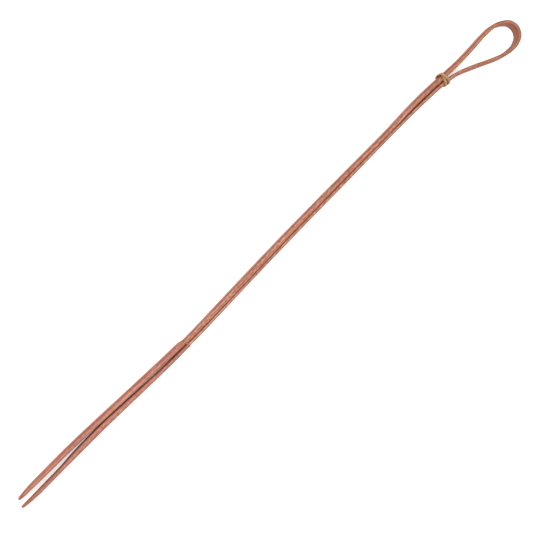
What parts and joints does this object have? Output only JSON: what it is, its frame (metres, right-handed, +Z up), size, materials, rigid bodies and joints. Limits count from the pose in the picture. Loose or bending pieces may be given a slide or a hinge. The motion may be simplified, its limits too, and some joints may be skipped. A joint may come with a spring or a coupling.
{
  "type": "marshmallow roasting fork",
  "caption": "Long wooden roasting fork made of a strip bent round into a teardrop handle loop, lashed at the throat, with springy pointed tines spliced to its legs.",
  "frame": {"origin": "middle of the base of the whole fork, on the surface that it lies on", "axes": "+X along the shaft towards the handle loop, +Y across the shaft towards the upper leg, +Z up from the surface that it lies on"},
  "size_m": [0.9102, 0.0396, 0.0143],
  "materials": {
    "strip_wood": "satin, oiled reddish brown",
    "tine_wood": "satin, scraped smooth, a little pinker than the handle",
    "lace_leather": "dry tan lace",
    "thread": "matt waxed thread"
  },
  "bodies": {
    "handle": {"handle_strip": "strip_wood", "throat_lace": "lace_leather", "splice_thread": "thread"},
    "upper_tine": {"upper_tine": "tine_wood"},
    "lower_tine": {"lower_tine": "tine_wood"}
  },
  "joints": [
    {"name": "upper_tine_flex", "type": "hinge", "parent": "handle", "child": "upper_tine", "pos_m": [-0.15897, 0.00571, 0.00525], "axis": [0, 0, -1], "range_deg": [0, 2.5], "stiffness_Nm_per_rad": 18},
    {"name": "lower_tine_flex", "type": "hinge", "parent": "handle", "child": "lower_tine", "pos_m": [-0.15897, 0.00061, 0.00525], "axis": [0, 0, 1], "range_deg": [0, 2.5], "stiffness_Nm_per_rad": 9}
  ]
}
